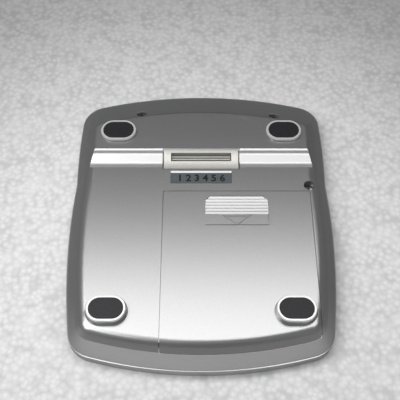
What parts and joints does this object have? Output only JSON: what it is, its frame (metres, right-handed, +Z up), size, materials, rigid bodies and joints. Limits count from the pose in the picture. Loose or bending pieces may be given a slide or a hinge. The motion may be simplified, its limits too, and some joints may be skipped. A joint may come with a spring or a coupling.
{
  "type": "electronic chess computer",
  "caption": "Portable electronic chess computer on rubber feet, with a playing board, display and keys on top and a sliding battery cover below.",
  "frame": {"origin": "centre of the footprint on the plane that the rubber feet stand on", "axes": "+X to the player's right, +Y away from the player, +Z up out of the playing board"},
  "size_m": [0.1576, 0.19, 0.028],
  "materials": {
    "silver_shell": "satin metallic paint",
    "black_rubber": "matte",
    "ivory": "satin",
    "grey_label": "satin",
    "spring_metal": "plated",
    "screw_steel": "zinc plated",
    "board_cream": "printed",
    "board_brown": "printed",
    "film": "clear film with silver print",
    "circuit_green": "solder mask",
    "chip_black": "moulded",
    "brass": "plain",
    "clear_window": "polished",
    "display_grey": "reflective",
    "frame_black": "moulded",
    "mat_grey": "matte",
    "key_dark": "satin",
    "key_red": "satin",
    "cell_wrap": "printed sleeve"
  },
  "bodies": {
    "case": {"top_housing": "silver_shell", "bottom_housing": "silver_shell", "foot_pad_near_right": "black_rubber", "foot_pad_far_left": "black_rubber", "foot_pad_far_right": "black_rubber", "serial_label": "grey_label", "socket_insert": "ivory", "socket_contacts": "spring_metal", "housing_screws": "screw_steel", "board_screws": "screw_steel", "sensor_membrane": "film", "board_plate": "board_cream", "dark_squares": "board_brown", "display_window": "clear_window", "lcd_panel": "display_grey", "lcd_frame": "frame_black", "display_connector": "mat_grey", "main_circuit_board": "circuit_green", "processor_chip": "chip_black", "piezo_buzzer": "brass", "key_mat": "mat_grey", "battery_cells": "cell_wrap", "battery_contacts": "spring_metal"},
    "cover": {"compartment_cover": "silver_shell", "cover_foot_pad": "black_rubber"},
    "key_file_a_cap": {"key_file_a": "key_dark"},
    "key_file_b_cap": {"key_file_b": "key_dark"},
    "key_file_c_cap": {"key_file_c": "key_dark"},
    "key_file_d_cap": {"key_file_d": "key_dark"},
    "key_file_e_cap": {"key_file_e": "key_dark"},
    "key_file_f_cap": {"key_file_f": "key_dark"},
    "key_file_g_cap": {"key_file_g": "key_dark"},
    "key_file_h_cap": {"key_file_h": "key_dark"},
    "key_enter_cap": {"key_enter": "key_red"},
    "key_clear_cap": {"key_clear": "key_dark"}
  },
  "joints": [
    {"name": "cover_slide", "type": "slide", "parent": "case", "child": "cover", "axis": [0, -1, 0], "range_m": [0, 0.11]},
    {"name": "key_file_a_press", "type": "slide", "parent": "case", "child": "key_file_a_cap", "axis": [0, 0, -1], "range_m": [0, 0.0009], "stiffness_N_per_m": 900},
    {"name": "key_file_b_press", "type": "slide", "parent": "case", "child": "key_file_b_cap", "axis": [0, 0, -1], "range_m": [0, 0.0009], "stiffness_N_per_m": 900},
    {"name": "key_file_c_press", "type": "slide", "parent": "case", "child": "key_file_c_cap", "axis": [0, 0, -1], "range_m": [0, 0.0009], "stiffness_N_per_m": 900},
    {"name": "key_file_d_press", "type": "slide", "parent": "case", "child": "key_file_d_cap", "axis": [0, 0, -1], "range_m": [0, 0.0009], "stiffness_N_per_m": 900},
    {"name": "key_file_e_press", "type": "slide", "parent": "case", "child": "key_file_e_cap", "axis": [0, 0, -1], "range_m": [0, 0.0009], "stiffness_N_per_m": 900},
    {"name": "key_file_f_press", "type": "slide", "parent": "case", "child": "key_file_f_cap", "axis": [0, 0, -1], "range_m": [0, 0.0009], "stiffness_N_per_m": 900},
    {"name": "key_file_g_press", "type": "slide", "parent": "case", "child": "key_file_g_cap", "axis": [0, 0, -1], "range_m": [0, 0.0009], "stiffness_N_per_m": 900},
    {"name": "key_file_h_press", "type": "slide", "parent": "case", "child": "key_file_h_cap", "axis": [0, 0, -1], "range_m": [0, 0.0009], "stiffness_N_per_m": 900},
    {"name": "key_enter_press", "type": "slide", "parent": "case", "child": "key_enter_cap", "axis": [0, 0, -1], "range_m": [0, 0.0009], "stiffness_N_per_m": 900},
    {"name": "key_clear_press", "type": "slide", "parent": "case", "child": "key_clear_cap", "axis": [0, 0, -1], "range_m": [0, 0.0009], "stiffness_N_per_m": 900}
  ]
}
